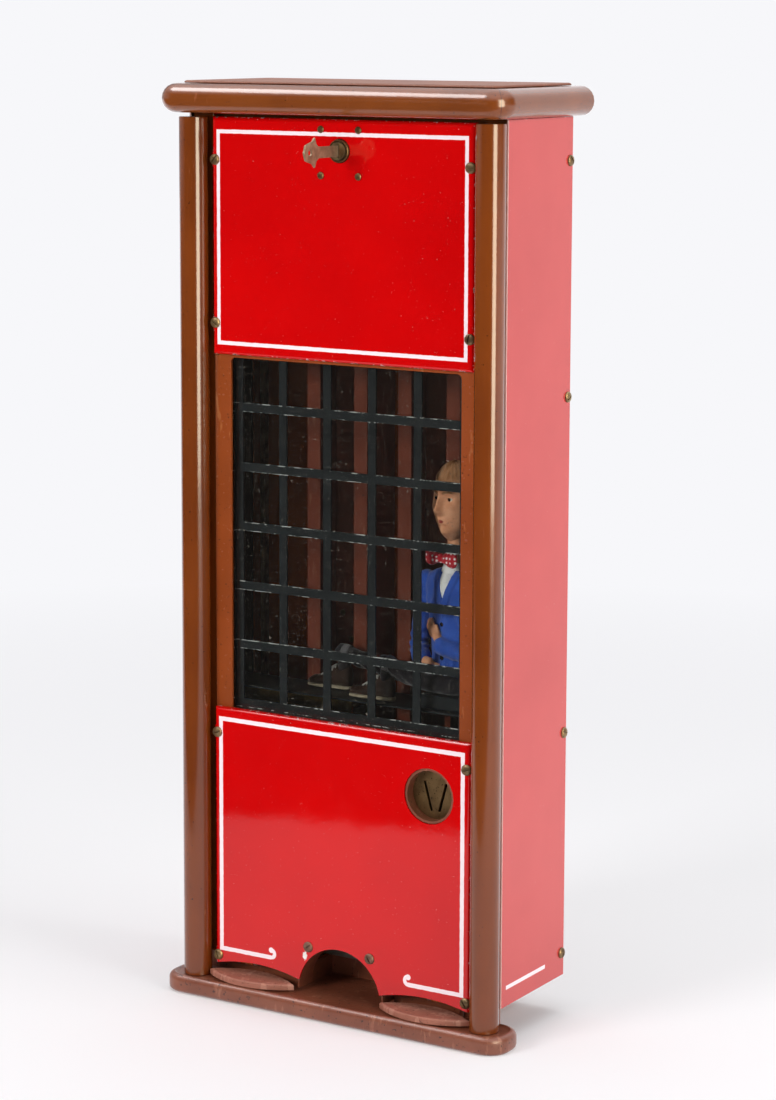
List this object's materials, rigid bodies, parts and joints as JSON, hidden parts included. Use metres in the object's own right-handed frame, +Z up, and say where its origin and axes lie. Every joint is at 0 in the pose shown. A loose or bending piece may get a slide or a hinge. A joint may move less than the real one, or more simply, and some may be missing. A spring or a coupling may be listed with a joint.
{
  "type": "gum_vending_machine",
  "caption": "Tall counter gum machine with red enamelled panels, brown columns, grilled window with a seated doll, coin slots and a key lock.",
  "frame": {"origin": "on the counter, under the middle of the cap's footprint", "axes": "+X customer's right, +Y back, +Z up"},
  "size_m": [0.2624, 0.1382, 0.6119],
  "materials": {
    "brown_enamel": "gloss brown stove enamel on steel",
    "base_enamel": "brown enamel on cast iron, specked",
    "cover_enamel": "worn pale brown enamel",
    "door_enamel": "gloss orange-brown stove enamel",
    "red_enamel": "gloss red vitreous enamel with white lines",
    "black_paint": "black paint, worn at the edges",
    "clear_glass": "clear window glass",
    "aged_brass": "dull aged brass",
    "polished_brass": "brushed brass",
    "steel": "plain steel",
    "tinplate": "dull tinned sheet steel",
    "magazine_enamel": "dark red-brown paint",
    "blue_cloth": "blue woollen cloth",
    "dark_cloth": "near-black cloth",
    "painted_skin": "painted composition, matt",
    "shoe_leather": "dark brown leather"
  },
  "bodies": {
    "cabinet": {"base_casting": "base_enamel", "hinge_cover_left": "cover_enamel", "hinge_cover_right": "cover_enamel", "column_left": "brown_enamel", "column_right": "brown_enamel", "corner_post_left": "brown_enamel", "corner_post_right": "brown_enamel", "back_panel": "brown_enamel", "side_panel_left": "red_enamel", "side_panel_right": "red_enamel", "side_screw_strip_left": "aged_brass", "side_screw_strip_right": "aged_brass", "floor_plate": "brown_enamel", "cap_moulding": "brown_enamel", "cap_plate": "brown_enamel", "keeper_rail": "brown_enamel", "stage_shelf": "black_paint", "hinge_bracket_left": "steel", "hinge_bracket_right": "steel", "gum_magazine_left": "magazine_enamel", "gum_magazine_right": "magazine_enamel", "feed_table": "tinplate", "feed_shaft": "steel", "gum_funnel": "tinplate", "cash_box": "tinplate", "clock_front_plate": "polished_brass", "clock_back_plate": "polished_brass", "doll_seat": "black_paint", "doll_legs": "dark_cloth", "doll_shoe_left": "shoe_leather", "doll_shoe_right": "shoe_leather"},
    "door": {"door_frame": "door_enamel", "upper_panel": "red_enamel", "lower_panel": "red_enamel", "screw_strip_left": "aged_brass", "screw_strip_right": "aged_brass", "window_glass": "clear_glass", "window_grille": "black_paint", "lock_body": "aged_brass", "coin_ring": "brown_enamel", "coin_plate": "aged_brass", "coin_chute_left": "tinplate", "coin_chute_right": "tinplate", "delivery_hood": "base_enamel"},
    "lock": {"lock_plug": "polished_brass", "door_key": "steel", "lock_cam": "steel"},
    "barrel": {"mainspring_barrel": "polished_brass"},
    "winder": {"winding_arbor": "steel"},
    "second_wheel": {"second_wheel": "polished_brass"},
    "governor": {"governor_fan": "polished_brass"},
    "doll": {"doll_torso": "blue_cloth", "doll_head": "painted_skin", "doll_spindle": "steel"},
    "pusher_left": {"gum_pusher_left": "steel"},
    "pusher_right": {"gum_pusher_right": "steel"},
    "pinion_left": {"feed_pinion_left": "polished_brass"},
    "pinion_right": {"feed_pinion_right": "polished_brass"},
    "follower_left": {"follower_weight_left": "steel"},
    "follower_right": {"follower_weight_right": "steel"}
  },
  "joints": [
    {"name": "door_swing", "type": "hinge", "parent": "cabinet", "child": "door", "pos_m": [0, -0.03385, 0.024], "axis": [1, 0, 0], "range_deg": [0, 80]},
    {"name": "lock_turn", "type": "hinge", "parent": "door", "child": "lock", "pos_m": [0, -0.03815, 0.5688], "axis": [0, -1, 0], "range_deg": [0, 90]},
    {"name": "barrel_turn", "type": "hinge", "parent": "cabinet", "child": "barrel", "pos_m": [-0.066, -0.01015, 0.154], "axis": [0, -1, 0], "continuous": true},
    {"name": "second_wheel_turn", "type": "hinge", "parent": "cabinet", "child": "second_wheel", "pos_m": [-0.0285, -0.01015, 0.154], "axis": [0, -1, 0], "continuous": true},
    {"name": "governor_turn", "type": "hinge", "parent": "cabinet", "child": "governor", "pos_m": [-0.01676, -0.01015, 0.17607], "axis": [0, -1, 0], "continuous": true},
    {"name": "winding_turn", "type": "hinge", "parent": "cabinet", "child": "winder", "pos_m": [-0.066, -0.01615, 0.154], "axis": [0, -1, 0], "continuous": true},
    {"name": "doll_turn", "type": "hinge", "parent": "cabinet", "child": "doll", "pos_m": [0.066, -0.00215, 0.2326], "axis": [0, 0, 1], "range_deg": [-6, 25]},
    {"name": "pusher_left_slide", "type": "slide", "parent": "cabinet", "child": "pusher_left", "axis": [0, -1, 0], "range_m": [0, 0.03]},
    {"name": "pinion_left_turn", "type": "hinge", "parent": "cabinet", "child": "pinion_left", "pos_m": [-0.0354, 0.01385, 0.05643], "axis": [1, 0, 0], "range_deg": [0, 200]},
    {"name": "follower_left_slide", "type": "slide", "parent": "cabinet", "child": "follower_left", "axis": [0, 0, 1], "range_m": [0, 0.44]},
    {"name": "pusher_right_slide", "type": "slide", "parent": "cabinet", "child": "pusher_right", "axis": [0, -1, 0], "range_m": [0, 0.03]},
    {"name": "pinion_right_turn", "type": "hinge", "parent": "cabinet", "child": "pinion_right", "pos_m": [0.0354, 0.01385, 0.05643], "axis": [1, 0, 0], "range_deg": [0, 200]},
    {"name": "follower_right_slide", "type": "slide", "parent": "cabinet", "child": "follower_right", "axis": [0, 0, 1], "range_m": [0, 0.44]}
  ],
  "couplings": [
    {"joint": "second_wheel_turn", "follows": "barrel_turn", "ratio": -4},
    {"joint": "governor_turn", "follows": "barrel_turn", "ratio": 16},
    {"joint": "pinion_left_turn", "follows": "pusher_left_slide", "rad_per_m": 111.11},
    {"joint": "pinion_right_turn", "follows": "pusher_right_slide", "rad_per_m": 111.11}
  ]
}
